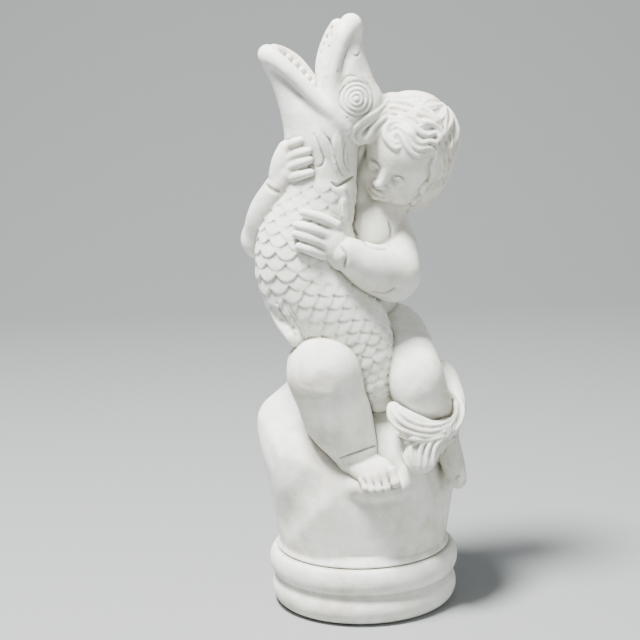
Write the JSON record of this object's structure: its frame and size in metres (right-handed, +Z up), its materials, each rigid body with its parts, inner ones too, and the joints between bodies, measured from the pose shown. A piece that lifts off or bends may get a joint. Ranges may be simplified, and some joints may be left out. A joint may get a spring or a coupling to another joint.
{
  "type": "concrete child statue",
  "caption": "Garden statue of a child seated on a rock who hugs a large scaled fish, cast in one piece with a low round moulded base.",
  "frame": {"origin": "centre of the flat underside of the round base", "axes": "+Z up through the figure, -Y towards the viewer whom the child faces, +X to the viewer's right"},
  "size_m": [0.2247, 0.2069, 0.598],
  "materials": {
    "cast_concrete": "matt, slightly sandy cast surface"
  },
  "bodies": {
    "root": {"child_statue": "cast_concrete"}
  },
  "joints": []
}
